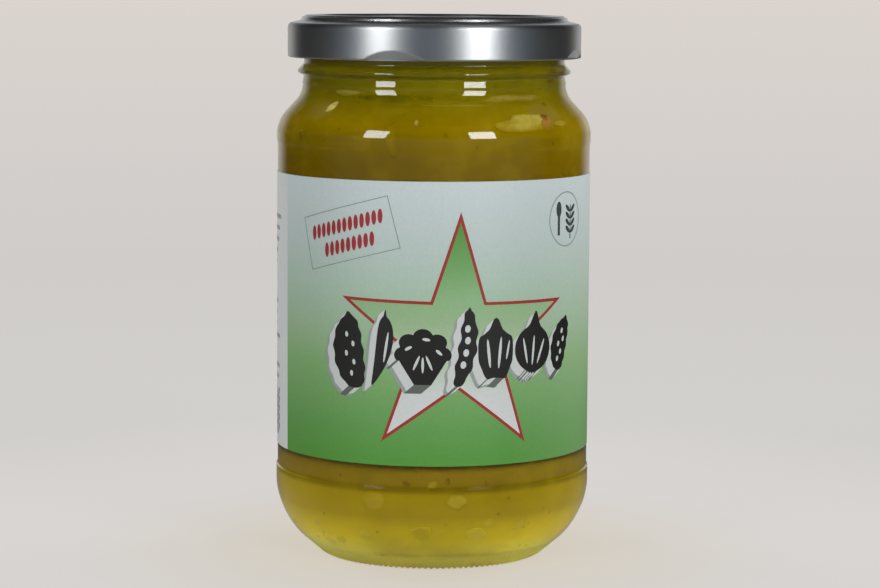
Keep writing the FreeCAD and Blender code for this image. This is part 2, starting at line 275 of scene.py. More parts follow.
def split_runs(bm, lowest, highest, cuts):
    """Cuts the runs of a wire that lie between two heights, or two (radius, height) corners."""
    runs = [e for e in bm.edges if all(
        lowest[0] * MM <= v.co.x <= highest[0] * MM and lowest[1] * MM <= v.co.z <= highest[1] * MM
        for v in e.verts)]
    bmesh.ops.subdivide_edges(bm, edges=runs, cuts=cuts)


def spin(bm, steps):
    """Turns a wire once round the jar's axis into a closed skin that faces outwards."""
    bmesh.ops.spin(
        bm, geom=bm.verts[:] + bm.edges[:], cent=(0, 0, 0), axis=(0, 0, 1), dvec=(0, 0, 0),
        angle=2 * math.pi / SECTORS, steps=steps // SECTORS, use_merge=False, use_duplicate=False)
    sector = bm.verts[:] + bm.edges[:] + bm.faces[:]
    for k in range(1, SECTORS):
        copy = bmesh.ops.duplicate(bm, geom=sector)["geom"]
        bmesh.ops.rotate(
            bm, verts=[v for v in copy if isinstance(v, bmesh.types.BMVert)], cent=(0, 0, 0),
            matrix=Matrix.Rotation(2 * math.pi * k / SECTORS, 3, "Z"))
    bmesh.ops.remove_doubles(bm, verts=bm.verts[:], dist=2e-6)
    bmesh.ops.recalc_face_normals(bm, faces=bm.faces[:])


def reach_of(place):
    return math.hypot(place.x, place.y)


def turn_of(place):
    """The angle round from the front, to the right, in degrees."""
    return math.degrees(math.atan2(place.x, -place.y))


def move_out(vertex, distance):
    scale = 1 + distance * MM / reach_of(vertex.co)
    vertex.co.x *= scale
    vertex.co.y *= scale


def apart(first, second):
    """The smaller angle between two directions, in degrees."""
    return abs((first - second + 180) % 360 - 180)


bm = outline([
    (0, 1.5, 0), (22.3, 1.5, 1.85), (23.8, 0, 0.6), (26.2, 0, 1.85), (WALL_OUT, 9.2, 17.2),
    (WALL_OUT, 20.45, 0.08), (PANEL_OUT, 20.9, 0.2), (PANEL_OUT, 96.1, 1.2), (36.8, 97.0, 1.2),
    (36.8, 101.5, 7.4), (30.75, 108.05, 5.3), (30.75, 110.15, 0.0), (30.9, 110.3, 0.12),
    (NECK_OUT, 112.0, 0.5), (31.9, 112.75, 0.5),
    (31.9, 113.45, 0.55), (NECK_OUT, 114.9, 0.9), (NECK_OUT, 117.0, 0), (NECK_OUT, 120.3, 0),
    (NECK_OUT, 124.9, 0.75), (28.45, 124.9, 0.9), (27.7, 124.15, 0.9), (27.7, 107.2, 8.3),
    (34.0, 100.4, 4.6), (34.1, 20.2, 0), (34.05, 11.4, 15.0), (25.6, 5.3, 4.5), (0, 5.0, 0)])
split_runs(bm, (NECK_OUT - 0.1, 116.9), (NECK_OUT + 0.1, 120.4), 15)
split_runs(bm, (23.9, -0.1), (25.8, 0.01), 7)
spin(bm, STEPS)
for vertex in bm.verts:
    reach, height, turn = reach_of(vertex.co) / MM, vertex.co.z / MM, turn_of(vertex.co)
    if abs(reach - NECK_OUT) < 0.05 and abs(height - THREAD_MID) < THREAD_HALF:
        off = min(apart(turn, FIRST_LUG + 45 + 90 * k) for k in range(4))
        ends = min(1, max(0, (THREAD_ARC / 2 - off) / THREAD_FADE))
        rise = math.sqrt(1 - ((height - THREAD_MID) / THREAD_HALF) ** 2)
        move_out(vertex, THREAD_REACH * rise * math.sin(ends * math.pi / 2))
    elif height < KNURL_HIGH and reach > KNURL_INSIDE:
        tooth = 0.5 - 0.5 * math.cos(math.radians(turn) * KNURLS)
        fade = max(0, 1 - height / KNURL_HIGH)
        vertex.co.z += KNURL_RISE * MM * tooth * fade
        move_out(vertex, -KNURL_DEEP * tooth * min(1, height / 0.3) * fade)
    elif reach > 28 and any(apart(turn, seam) < SEAM_HALF for seam in SEAM_TURNS):
        if any(low < height < high for low, high in SEAM_RUNS):
            move_out(vertex, SEAM_RISE)


def mottle(tree, place, scale, detail, roughness=0.5):
    """Soft cloudiness that varies from place to place."""
    return add(tree, "ShaderNodeTexNoise", {
        "Vector": place, "Scale": scale, "Detail": detail, "Roughness": roughness}).outputs["Fac"]


def emboss(tree, shader, height, strength, distance):
    """Fine relief on a material, from a height that varies over it."""
    bump = add(tree, "ShaderNodeBump", {
        "Height": height, "Strength": strength, "Distance": distance})
    tree.links.new(bump.outputs["Normal"], shader.inputs["Normal"])


clear_glass, tree, shader = new_material("clear_glass")
place = add(tree, "ShaderNodeTexCoord").outputs["Object"]
shader.inputs["Base Color"].default_value = (0.96, 0.985, 0.965, 1)
shader.inputs["Transmission Weight"].default_value = 1.0
shader.inputs["IOR"].default_value = 1.52
tree.links.new(
    spread(tree, mottle(tree, place, 60.0, 3.0), 0.35, 0.75, 0.012, 0.05),
    shader.inputs["Roughness"])
emboss(tree, shader, mottle(tree, place, 55.0, 1.0), 0.12, 0.0006)
ray = add(tree, "ShaderNodeLightPath")
passing = add(tree, "ShaderNodeBsdfTransparent", {"Color": (0.97, 0.985, 0.97, 1)})
either = add(tree, "ShaderNodeMixShader", {
    0: ray.outputs["Is Shadow Ray"], 1: shader.outputs[0], 2: passing.outputs[0]})
tree.links.new(either.outputs[0], tree.nodes["Material Output"].inputs["Surface"])

jar = finish_piece(bm, "glass_jar", [clear_glass])
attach(jar, "root")
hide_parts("jar")


# ---------------------------------------------------------------- mustard sauce
# The sauce is a thick turmeric and mustard cream that fills the jar to just under the rim. It
# reaches 0.15 into the glass, as a liquid that wets it does, so no air shows between them.
SURFACE, LUMP = 117.9, 0.35
SAUCE_STEPS = 192

bm = outline([
    (0, 4.85, 0), (25.65, 5.15, 4.65), (34.2, 11.33, 15.1), (34.25, 20.2, 0),
    (34.15, 100.46, 4.75), (27.85, 107.26, 8.15), (27.85, SURFACE, 0.5), (0, SURFACE, 0)])
skin_line = sorted((v.co.z, v.co.x) for v in bm.verts if v.co.x > 20 * MM and v.co.z < 117 * MM)
split_runs(bm, (0, 117), (27.6, 119), 24)
spin(bm, SAUCE_STEPS)
for vertex in bm.verts:
    if vertex.co.z > (SURFACE - 0.1) * MM:
        lump = noise.noise(vertex.co * 160) + 0.5 * noise.noise(vertex.co * 420)
        inside = min(1, (27.8 * MM - reach_of(vertex.co)) / (3 * MM))
        vertex.co.z += LUMP * MM * max(-1, min(1, lump)) * inside


def sauce_skin(height):
    """How far out the sauce's skin is at a height, in metres."""
    for (low, near), (high, far) in zip(skin_line, skin_line[1:]):
        if low <= height <= high:
            return near + (far - near) * (height - low) / max(high - low, 1e-9)
    return skin_line[0][1] if height < skin_line[0][0] else skin_line[-1][1]


def node_group(name, *sockets):
    """A shader node group with its named inputs and outputs."""
    made = bpy.data.node_groups.new(name, "ShaderNodeTree")
    for title, way, kind in sockets:
        made.interface.new_socket(title, in_out=way, socket_type="NodeSocket" + kind)
    return made


def times(tree, first, second):
    """One value times another."""
    return add(tree, "ShaderNodeMath", {0: first, 1: second}, operation="MULTIPLY").outputs[0]


# How far up the jar, and the sauce's colour there. The colour is partly its own and partly painted
# light and shade:
# painted light makes the foot pale, painted shade makes a dark band at the panel's lower step and a
# browner strip under the label, the neck is greener and darker partly with painted shade under the
# lid, and painted light makes the rim just under the lid pale.
JAR_HIGH = 126
SAUCE_TONES_AND_PAINTED_LIGHT = (
    (0.045, 250, 234, 74), (0.07, 210, 188, 24), (0.11, 154, 133, 4), (0.15, 140, 121, 4),
    (0.155, 112, 95, 2), (0.162, 106, 89, 2), (0.168, 122, 101, 12), (0.19, 131, 109, 17),
    (0.23, 120, 97, 6), (0.74, 110, 88, 0), (0.81, 122, 102, 0), (0.86, 108, 97, 2),
    (0.906, 104, 97, 8), (0.915, 170, 156, 30))

# The sauce's colour: its own clouds and speckles, with painted light and shade by height and across
# the jar.
sauce_cloud_and_painted_light = node_group(
    "sauce_cloud_and_painted_light", ("Place", "INPUT", "Vector"), ("Color", "OUTPUT", "Color"),
    ("Height", "OUTPUT", "Float"))
tree = sauce_cloud_and_painted_light
place = add(tree, "NodeGroupInput").outputs["Place"]
spot = add(tree, "ShaderNodeSeparateXYZ", {"Vector": place}).outputs
height, across = spot["Z"], spot["X"]
# The colour by height carries painted light in the foot and under the lid, and painted shade at the
# lower step.
shade = ramp(tree, spread(tree, height, 0.0, JAR_HIGH * MM), [
    (share, colour(*tone)) for share, *tone in SAUCE_TONES_AND_PAINTED_LIGHT])
clouds = mottle(tree, place, 110.0, 4.0, 0.55)
lit = blend(tree, spread(tree, clouds, 0.48, 0.72, 0.0, 0.22), shade, colour(158, 142, 28))
grains = add(tree, "ShaderNodeTexVoronoi", {"Vector": place, "Scale": 300.0, "Randomness": 1.0})
grain = spread(tree, grains.outputs["Distance"], 0.06, 0.14, 0.45, 0.0)
some = spread(tree, mottle(tree, place, 210.0, 0.0), 0.52, 0.6)
speckled = blend(tree, times(tree, grain, some), lit, colour(70, 58, 10))
drift = spread(tree, mottle(tree, place, 70.0, 2.0), 0.30, 0.52, 0.86, 1.0)
# Painted light and shade: above the foot the sauce is painted darker on the left and lighter on the
# right, as the light falls.
left = spread(tree, height, 0.020, 0.050, 1.0, 0.80)
right = spread(tree, height, 0.010, 0.040, 0.95, 1.14)
side = spread(tree, across, -0.034, 0.034, left, right)
# Painted light: low in the jar the sauce is painted lighter towards the sides, where light from behind
# comes through.
painted_foot_rim_light = spread(tree, height, 0.010, 0.028, 1.65, 1.0)
edge = spread(tree, times(tree, across, across), 0.0, 0.0011, 1.0, painted_foot_rim_light)
tone_and_painted_light = add(tree, "ShaderNodeVectorMath", {
    0: speckled, "Scale": times(tree, times(tree, side, drift), edge)}, operation="SCALE")
add(tree, "NodeGroupOutput", {"Color": tone_and_painted_light.outputs["Vector"], "Height": clouds})


def sauce_in(tree):
    """The sauce's colour, with its painted light and shade, and its lumps in a material, and the place
    that they follow.
    """
    here = add(tree, "ShaderNodeTexCoord").outputs["Object"]
    return add(tree, "ShaderNodeGroup", {"Place": here}, node_tree=sauce_cloud_and_painted_light).outputs, here


mustard_sauce, tree, shader = new_material("mustard_sauce")
sauce_tone_and_painted_light, here = sauce_in(tree)
tree.links.new(sauce_tone_and_painted_light["Color"], shader.inputs["Base Color"])
shader.inputs["Roughness"].default_value = 0.6
shader.inputs["Specular IOR Level"].default_value = 0.0
shader.inputs["Subsurface Weight"].default_value = 0.4
shader.inputs["Subsurface Radius"].default_value = (1.0, 0.85, 0.10)
shader.inputs["Subsurface Scale"].default_value = 0.006
emboss(tree, shader, sauce_tone_and_painted_light["Height"], 0.3, 0.001)

sauce = finish_piece(bm, "mustard_sauce", [mustard_sauce])
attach(sauce, "root")
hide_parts("piccalilli")


# ---------------------------------------------------------------- vegetable pieces
# Chopped cauliflower, silverskin onion, gherkin and red pepper, with whole mustard seed. Each piece
# is pressed flat against the inside of the glass, and thins out into the sauce at its edges.
random.seed(12)
CREAM, STRAW, ONION = (166, 152, 74), (158, 142, 44), (154, 137, 50)
LEAF, SKIN_GREEN, OLIVE = (112, 116, 30), (78, 84, 18), (104, 96, 8)
PINK, BROWN, RED, CARROT = (152, 96, 54), (88, 66, 4), (128, 52, 14), (150, 96, 6)
# Painted light: pieces low in the jar are painted up to this much paler, below this height, as if lit
# through the foot.
FOOT_PAINTED_LIGHT, FOOT_PAINTED_LIGHT_TO = 0.5, 16
# A piece's middle lies SUNK of its depth inside the sauce's skin, and its flat FLATTENED outside it.
SUNK, FLATTENED = 0.22, 0.06
# None of the random pieces lies within this angle of the front.
CLEAR_FRONT = 80


def tinted(shade, strength):
    return (*colour(*shade)[:3], strength)


def turn_round(bm, verts, degrees, axis):
    """Turns some points about an axis through the middle of the frame."""
    bmesh.ops.rotate(
        bm, verts=verts, cent=(0, 0, 0), matrix=Matrix.Rotation(math.radians(degrees), 3, axis))


def press(bm, turn, height, across, tall, lean, shade, strength, detail=4, soft=1.0):
    """Adds one chopped piece, flattened where it meets the glass, with painted light that pales it low
    in the jar.
    """
    showing, tint = bm.verts.layers.float["showing"], bm.verts.layers.float_color["tint"]
    shade = [c * (1 + FOOT_PAINTED_LIGHT * max(0, 1 - height / FOOT_PAINTED_LIGHT_TO)) for c in shade]
    made = bmesh.ops.create_icosphere(bm, subdivisions=detail, radius=0.5)["verts"]
    deep = min(across, tall) * 0.9 + 1.0
    offset = Vector((turn * 0.37, height * 0.53, across))
    for vertex in made:
        if detail > 2:
            coarse = noise.noise(vertex.co * 2.6 + offset)
            fine = noise.noise(vertex.co * 7 + offset)
            vertex.co *= 1 + 0.28 * coarse + 0.10 * fine
    bmesh.ops.scale(bm, verts=made, vec=(across * MM, deep * MM, tall * MM))
    turn_round(bm, made, lean, "Y")
    out = SUNK * deep * MM - sauce_skin(height * MM)
    bmesh.ops.translate(bm, verts=made, vec=(0, out, height * MM))
    turn_round(bm, made, turn, "Z")
    for vertex in made:
        over = reach_of(vertex.co) - sauce_skin(vertex.co.z) - FLATTENED * MM
        if over > 0:
            move_out(vertex, -over / MM)
        vertex[showing] = min(1, max(0, over / (soft * min(1, deep / 3) * MM)))
        vertex[tint] = tinted(shade, strength)


def pieces_of(name, specs):
    """Makes one piece of a kind of vegetable, from the press values of each bit."""
    bm = bmesh.new()
    bm.verts.layers.float.new("showing")
    bm.verts.layers.float_color.new("tint")
    for spec in specs:
        press(bm, *spec)
    made = finish_piece(bm, name, [chopped_vegetable])
    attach(made, "root")


chopped_vegetable, tree, shader = new_material("chopped_vegetable")
sauce_tone_and_painted_light, here = sauce_in(tree)
tint = add(tree, "ShaderNodeAttribute", attribute_name="tint").outputs
showing = add(tree, "ShaderNodeAttribute", attribute_name="showing").outputs["Fac"]
flesh = mottle(tree, here, 700.0, 3.0)
seen = times(tree, spread(tree, showing, 0.0, 1.0, interpolation_type="SMOOTHSTEP"), tint["Alpha"])
share = times(tree, seen, spread(tree, flesh, 0.3, 0.7, 0.65, 1.0))
tree.links.new(blend(tree, share, sauce_tone_and_painted_light["Color"], tint["Color"]), shader.inputs["Base Color"])
shader.inputs["Roughness"].default_value = 0.6
shader.inputs["Specular IOR Level"].default_value = 0.0
emboss(tree, shader, flesh, 0.2, 0.0004)


def scatter(count, shades, low, high, small, large, strength, flat=1.0):
    """Pieces at random round the back and sides, in the two bands that the label leaves open."""
    specs = []
    for _ in range(count):
        turn = random.uniform(CLEAR_FRONT, 360 - CLEAR_FRONT)
        height = random.choice((random.uniform(7, 23), random.uniform(low, high)))
        across = random.uniform(small, large)
        specs.append((
            turn, height, across, across * random.uniform(0.35, 0.8) * flat,
            random.uniform(-40, 40), random.choice(shades), strength * random.uniform(0.6, 1.1)))
    return specs


pieces_of("cauliflower_pieces", [
    (-48, 103.9, 2.2, 4.8, 30, (186, 174, 96), 1.0),
    (-47, 105.2, 2.4, 1.3, -20, (178, 166, 88), 0.9), (-22, 17.5, 6.0, 4.6, 0, STRAW, 0.45),
    (9.3, 17.5, 5.0, 4.0, 15, STRAW, 0.7), (17.5, 10.4, 5.6, 3.0, 5, (168, 153, 48), 0.8),
    (22.5, 12.6, 3.0, 2.4, 20, (166, 150, 46), 0.7), (37, 12.0, 2.0, 4.2, 28, (168, 152, 50), 0.5),
    (-52, 11.0, 3.4, 2.8, 0, CREAM, 0.5), (-28.5, 9.8, 3.0, 2.2, 30, CREAM, 0.4),
    (-50, 7.6, 4.0, 2.2, 10, CREAM, 0.5), (0.2, 21.0, 2.6, 2.4, 0, STRAW, 0.5),
    (-6.8, 101.9, 1.5, 1.3, 0, CREAM, 0.6),
] + scatter(34, (CREAM, STRAW), 92, 106, 2.5, 8, 0.55))
pieces_of("onion_pieces", [
    (39.5, 101.4, 16.0, 4.0, 0, (160, 146, 62), 0.9, 4, 2.0),
    (56.0, 101.2, 5.0, 1.4, 0, (158, 140, 66), 0.6, 4, 1.2),
    (38.5, 107.2, 16.0, 2.4, 0, (148, 128, 60), 0.9, 4, 1.3),
    (-41, 108.4, 9.0, 2.4, 0, (142, 130, 56), 0.8), (-16, 98.5, 7.0, 3.0, 80, (132, 114, 6), 0.2),
] + scatter(26, (ONION, CREAM), 92, 108, 4, 10, 0.5, flat=0.6))
pieces_of("gherkin_pieces", [
    (-17, 107.0, 16.0, 3.6, 0, (50, 52, 4), 0.9, 4, 2.0),
    (3, 107.4, 13.0, 2.6, 0, (60, 58, 4), 0.8, 4, 1.8),
    (-4, 10.8, 4.6, 3.6, 0, (124, 102, 4), 0.35), (-42, 8.2, 3.4, 2.4, 0, (122, 102, 6), 0.35),
] + scatter(30, (LEAF, OLIVE, SKIN_GREEN), 92, 110, 3, 8, 0.75))
pieces_of("pepper_pieces", [
    (48.0, 101.1, 5.0, 2.5, -8, (150, 92, 62), 0.95, 4, 1.6),
    (48.4, 102.4, 2.6, 1.8, -12, (92, 42, 4), 1.0),
    (54.0, 105.0, 2.0, 1.7, 0, (96, 60, 4), 0.9), (65, 111.4, 4.4, 3.4, 0, (92, 60, 26), 0.9),
    (69, 113.2, 4.0, 2.6, 0, (132, 96, 60), 0.7),
] + scatter(14, (RED, CARROT, PINK), 92, 108, 2, 5, 0.7))
pieces_of("mustard_seeds", [
    (-9.5, 21.6, 2.2, 2.0, 0, BROWN, 0.95, 3), (6.0, 22.2, 1.9, 2.2, 10, BROWN, 0.8, 3),
    (21.1, 21.5, 1.6, 1.5, 0, BROWN, 0.6, 3), (-58.8, 98.9, 1.8, 1.8, 0, BROWN, 0.8, 3),
    (4.4, 99.6, 1.4, 1.7, 0, (92, 80, 0), 0.9, 3),
] + [spec + (2,) for spec in scatter(
    70, (BROWN, (132, 104, 24), OLIVE), 91, 112, 1.2, 2.0, 0.8, flat=1.5)])


# ---------------------------------------------------------------- label
# The label is a coated white paper sleeve glued round the flat panel, lapped at the back. The front
# is printed with a green field that pales upwards.
LABEL_LOW, LABEL_HIGH, LABEL_OUT = 25.8, 89.8, 36.72
PAPER = 0.11
LAP, LAP_RISE = 7.0, 2.0
GREEN_LEFT, GREEN_RIGHT = -42.3, 64.0
# Print is cut into uprights this wide before it is bent.
CUT = 1.2


def wrap(bm, lift):
    """Cuts flat print into narrow uprights and bends it round the glass, facing out."""
    bmesh.ops.triangulate(bm, faces=bm.faces[:])
    spots = [v.co.x / (CUT * MM) for v in bm.verts]
    for k in range(math.ceil(min(spots)), math.floor(max(spots)) + 1):
        bmesh.ops.bisect_plane(
            bm, geom=bm.verts[:] + bm.edges[:] + bm.faces[:], dist=1e-7,
            plane_co=(k * CUT * MM, 0, 0), plane_no=(1, 0, 0))
    bmesh.ops.remove_doubles(bm, verts=bm.verts[:], dist=1e-6)
    lap_from = math.pi * LABEL_OUT * MM
    for vertex in bm.verts:
        over = min(1, max(0, (vertex.co.x - (lap_from - LAP * MM)) / (LAP_RISE * MM)))
        reach = (LABEL_OUT + lift + PAPER * 1.1 * over) * MM
        turn = vertex.co.x / (LABEL_OUT * MM)
        vertex.co = (reach * math.sin(turn), -reach * math.cos(turn), vertex.co.z)
    bm.normal_update()
    inward = [f for f in bm.faces if f.normal.xy.dot(f.calc_center_median().xy) < 0]
    bmesh.ops.reverse_faces(bm, faces=inward)


def lay(bm, along, up, lean=0):
    """Leans a flat shape, to the right when positive, and moves it to its place on the paper."""
    turn_round(bm, bm.verts[:], lean, "Y")
    bmesh.ops.translate(bm, verts=bm.verts[:], vec=(along * MM, 0, up * MM))
    return bm


def sheet(left, right, low, high):
    """A flat rectangle of print, its edges given along the paper and up the jar."""
    bm = bmesh.new()
    bmesh.ops.create_grid(bm, x_segments=1, y_segments=1, size=0.5)
    turn_round(bm, bm.verts[:], 90, "X")
    bmesh.ops.scale(bm, verts=bm.verts[:], vec=((right - left) * MM, 1, (high - low) * MM))
    return lay(bm, (left + right) / 2, (low + high) / 2)


coated_paper = node_group(
    "coated_paper", ("Place", "INPUT", "Vector"), ("Ink", "INPUT", "Color"),
    ("Color", "OUTPUT", "Color"), ("Roughness", "OUTPUT", "Float"), ("Height", "OUTPUT", "Float"))
tree = coated_paper
given = add(tree, "NodeGroupInput").outputs
fibre = mottle(tree, given["Place"], 1400.0, 3.0, 0.6)
patch = mottle(tree, given["Place"], 90.0, 2.0)
inked = add(tree, "ShaderNodeVectorMath", {
    0: given["Ink"], "Scale": spread(tree, fibre, 0.3, 0.7, 0.97, 1.03)}, operation="SCALE")
relief = add(tree, "ShaderNodeMath", {0: fibre, 1: patch}, operation="ADD")
add(tree, "NodeGroupOutput", {
    "Color": inked.outputs["Vector"], "Roughness": spread(tree, patch, 0.3, 0.7, 0.42, 0.52),
    "Height": relief.outputs[0]})


def print_ink(name, ink=None, fade=None):
    """Printed paper in one colour, or fading up the jar through (height, colour) stops.

    A print that fades carries a painted sheen, a little paler towards the right.
    """
    made, tree, shader = new_material(name)
    here = add(tree, "ShaderNodeTexCoord").outputs["Object"]
    finish = add(tree, "ShaderNodeGroup", {"Place": here}, node_tree=coated_paper)
    if fade:
        low, high = fade[0][0], fade[-1][0]
        spot = add(tree, "ShaderNodeSeparateXYZ", {"Vector": here}).outputs
        rising = ramp(tree, spread(tree, spot["Z"], low * MM, high * MM), [
            ((level - low) / (high - low), shade) for level, shade in fade])
        # Painted sheen: the fading print is mixed a little towards pale grey on the right side.
        aside = spread(tree, spot["X"], 0.018, 0.034, 0.0, 0.09)
        tree.links.new(blend(tree, aside, rising, colour(214, 214, 208)), finish.inputs["Ink"])
    else:
        finish.inputs["Ink"].default_value = ink
    tree.links.new(finish.outputs["Color"], shader.inputs["Base Color"])
    tree.links.new(finish.outputs["Roughness"], shader.inputs["Roughness"])
    shader.inputs["Specular IOR Level"].default_value = 0.35
    emboss(tree, shader, finish.outputs["Height"], 0.12, 0.0002)
    return made


plain_paper = print_ink("label_paper_plain", ink=colour(194, 199, 199))
green_field = print_ink("label_green_field", fade=[
    (27, colour(77, 140, 55)), (34, colour(89, 145, 73)), (42, colour(107, 154, 92)),
    (48, colour(119, 162, 105)), (56, colour(142, 171, 138)), (66, colour(158, 181, 165)),
    (76, colour(172, 187, 184)), (89, colour(185, 196, 198))])

ends = math.pi * LABEL_OUT
bm = sheet(-ends, ends + LAP, LABEL_LOW, LABEL_HIGH)
for side in (GREEN_LEFT, GREEN_RIGHT, ends - LAP, ends - LAP + LAP_RISE):
    bmesh.ops.bisect_plane(
        bm, geom=bm.verts[:] + bm.edges[:] + bm.faces[:], dist=1e-7,
        plane_co=(side * MM, 0, 0), plane_no=(1, 0, 0))
for face in bm.faces:
    middle = face.calc_center_median().x / MM
    face.material_index = 1 if GREEN_LEFT < middle < GREEN_RIGHT else 0
wrap(bm, 0)
bmesh.ops.solidify(bm, geom=bm.faces[:], thickness=PAPER * MM)
label = finish_piece(bm, "label_sleeve", [plain_paper, green_field], smooth=False)
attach(label, "root")
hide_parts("label")


# ---------------------------------------------------------------- star
# A large five-pointed star printed in the middle of the green field. Its fill fades the other way,
# green at the top and white at the feet, inside a thin dark red line.
STAR_ALONG, STAR_UP = 5.7, 54.2
STAR_POINT, STAR_NECK, STAR_LINE, STAR_LEAN = 28.9, 10.8, 0.7, 1.0


def printed(bm, name, lift, inks):
    """Wraps flat print round the label and hands it over as a piece."""
    wrap(bm, lift)
    made = finish_piece(bm, name, inks, smooth=False)
    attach(made, "root")


star_fill = print_ink("label_star_fill", fade=[
    (30, colour(192, 198, 199)), (42, colour(188, 194, 193)), (50, colour(160, 182, 152)),
    (58, colour(140, 169, 130)), (64, colour(128, 167, 120)), (71, colour(102, 152, 90)),
    (80, colour(78, 135, 54))])
star_red = print_ink("label_star_red", ink=colour(146, 44, 38))

bm = bmesh.new()
bmesh.ops.create_circle(bm, cap_ends=True, segments=10, radius=STAR_POINT * MM)
for vertex in bm.verts:
    share = math.degrees(math.atan2(vertex.co.x, vertex.co.y)) / 72
    if abs(share - round(share)) > 0.25:
        vertex.co *= STAR_NECK / STAR_POINT
turn_round(bm, bm.verts[:], 90, "X")
lay(bm, STAR_ALONG, STAR_UP, STAR_LEAN)
border = bmesh.ops.inset_region(
    bm, faces=bm.faces[:], thickness=STAR_LINE * MM, use_even_offset=True, use_boundary=True)
for face in border["faces"]:
    face.material_index = 1
printed(bm, "label_star", 0.02, [star_fill, star_red])


# ---------------------------------------------------------------- printed corner notes
# Two small marks in the top corners: a tilted thin frame with two rows of slanting red strokes, and
# a ringed drawing of a spoon and a sprig. Neither says anything.
frame_grey = print_ink("label_frame_grey", ink=colour(112, 130, 120))
note_red = print_ink("label_note_red", ink=colour(150, 40, 44))
mark_dark = print_ink("label_mark_dark", ink=colour(58, 66, 68))
mark_grey = print_ink("label_mark_grey", ink=colour(132, 142, 144))


def join(target, part):
    """Adds one bmesh to another and frees it."""
    spare = bpy.data.meshes.new("spare")
    part.to_mesh(spare)
    part.free()
    target.from_mesh(spare)
    bpy.data.meshes.remove(spare)


def hollow(bm, line):
    """Leaves only a line of the shape, along its edge."""
    border = bmesh.ops.inset_region(
        bm, faces=bm.faces[:], thickness=line * MM, use_even_offset=True, use_boundary=True)["faces"]
    bmesh.ops.delete(bm, geom=[f for f in bm.faces if f not in border], context="FACES_ONLY")
    return bm


def disc(wide, tall, segments=64):
    """A flat oval that stands up on the paper's plane."""
    bm = bmesh.new()
    bmesh.ops.create_circle(bm, cap_ends=True, segments=segments, radius=0.5)
    turn_round(bm, bm.verts[:], 90, "X")
    bmesh.ops.scale(bm, verts=bm.verts[:], vec=(wide * MM, 1, tall * MM))
    return bm


NOTE_ALONG, NOTE_UP, NOTE_LEAN = -20.6, 77.7, -14.6
printed(lay(hollow(sheet(-12.15, 12.15, -6.05, 6.05), 0.16), NOTE_ALONG, NOTE_UP, NOTE_LEAN),
        "label_note_frame", 0.02, [frame_grey])

strokes = bmesh.new()
for start, count, rise in ((-9.3, 13, 2.0), (-6.3, 9, -2.5)):
    for k in range(count):
        join(strokes, lay(disc(1.15, 3.3, 20), start + k * 1.55, rise, 14))
printed(lay(strokes, NOTE_ALONG, NOTE_UP, NOTE_LEAN), "label_note_strokes", 0.025, [note_red])

SEAL_ALONG, SEAL_UP, LEAF_LEAN = 35.5, 80.4, 48
printed(lay(hollow(disc(12.6, 12.6), 0.28), SEAL_ALONG, SEAL_UP), "label_seal_ring", 0.02, [mark_grey])
seal = lay(disc(1.9, 3.6, 32), SEAL_ALONG - 2.9, SEAL_UP + 2.3)
join(seal, lay(sheet(-0.42, 0.42, -3.0, 2.2), SEAL_ALONG - 2.9, SEAL_UP - 0.6))
SPRIG_ALONG = SEAL_ALONG + 1.8
for k in range(4):
    for side in (-1, 1):
        leaf = disc(0.95, 2.3, 24)
        join(seal, lay(leaf, SPRIG_ALONG + side * 1.1, SEAL_UP - 2.4 + 1.6 * k, side * LEAF_LEAN))
join(seal, lay(sheet(-0.18, 0.18, -4.2, 3.6), SPRIG_ALONG, SEAL_UP - 0.4))
printed(seal, "label_seal_drawing", 0.025, [mark_dark])


# ---------------------------------------------------------------- printed vegetables
# A row of vegetables in solid black across the middle of the star. They are drawn as if cut from
# thick board and seen from the lower left, with pale sides and dark undersides.
board_black = print_ink("label_board_black", ink=colour(31, 31, 29))
board_pale = print_ink("label_board_pale", ink=colour(184, 190, 189))
board_shade = print_ink("label_board_shade", ink=colour(138, 146, 143))
board_under = print_ink("label_board_under", ink=colour(88, 96, 90))
BOARD, PALE_SHARE = Vector((-2.3, 0, -2.0)) * MM, 0.72
# Kind, place along the paper and up the jar, width, height and lean of each.
ROW = (
    ("gherkin", -19.6, 51.0, 7.8, 16.4, -8), ("chilli", -11.4, 51.6, 5.0, 17.0, 4),
    ("cauliflower", -2.2, 50.6, 13.0, 12.6, 0), ("bean", 7.4, 52.4, 4.0, 17.4, 9),
    ("pepper", 14.6, 52.0, 9.6, 14.0, 0), ("onion", 24.6, 52.6, 10.2, 13.4, 5),
    ("gherkin", 33.4, 52.0, 5.6, 12.0, 16))
# Pale strokes on each kind: place across and up it in halves of its size, width, height and lean.
DETAILS = {
    "gherkin": [(-0.05, 0.5, 0.8, 1.3, 0), (0.30, 0.22, 0.8, 1.3, 0), (-0.22, -0.02, 0.8, 1.3, 0),
                (0.22, -0.28, 0.8, 1.3, 0), (-0.02, -0.58, 0.8, 1.3, 0)],
    "chilli": [(0.30, 0.12, 0.6, 7.0, 5)],
    "bean": [(-0.1, 0.52, 1.3, 1.7, 0), (0.12, 0.22, 1.3, 1.7, 0), (0.15, -0.10, 1.3, 1.7, 0),
             (0.05, -0.42, 1.3, 1.7, 0)],
    "cauliflower": [(-0.22, -0.22, 0.6, 3.6, 24), (0.22, -0.22, 0.6, 3.6, -24),
                    (0.0, -0.30, 0.6, 3.6, 0), (-0.50, 0.30, 0.7, 1.8, 62),
                    (0.12, 0.62, 0.7, 1.8, 98), (0.56, 0.16, 0.7, 1.8, -50)],
    "pepper": [(-0.36, -0.12, 0.7, 6.6, -6), (0.20, -0.10, 0.7, 7.2, 5), (0.62, -0.02, 0.5, 4.4, 10)],
    "onion": [(-0.44, -0.22, 0.6, 6.0, -16), (0.0, -0.20, 0.6, 6.8, 0), (0.44, -0.22, 0.6, 6.0, 16)],
}


